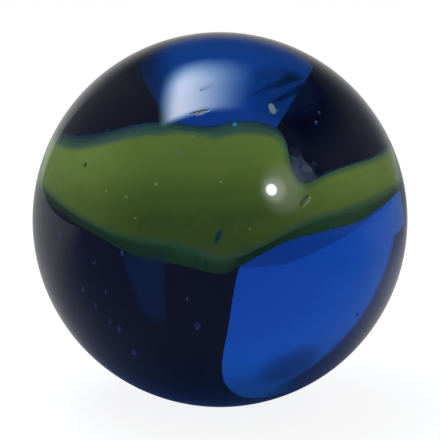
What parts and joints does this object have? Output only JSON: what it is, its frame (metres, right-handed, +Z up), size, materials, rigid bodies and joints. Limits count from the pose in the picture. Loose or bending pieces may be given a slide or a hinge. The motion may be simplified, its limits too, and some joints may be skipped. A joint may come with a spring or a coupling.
{
  "type": "glass marble",
  "caption": "Ball of clear cobalt-blue glass with one wavy ribbon of opaque green glass fused flush into its skin, for play, display or filling a jar",
  "frame": {"origin": "the centre of the ball", "axes": "+Z up, +X to the right and +Y away from the viewer, with the widest part of the ribbon at the front"},
  "size_m": [0.016, 0.016, 0.016],
  "materials": {
    "cobalt_glass": "polished, transparent, with a few small bubbles",
    "green_glass": "polished, opaque, with faint streaks"
  },
  "bodies": {
    "root": {"blue_glass_ball": "cobalt_glass", "green_glass_ribbon": "green_glass"}
  },
  "joints": []
}
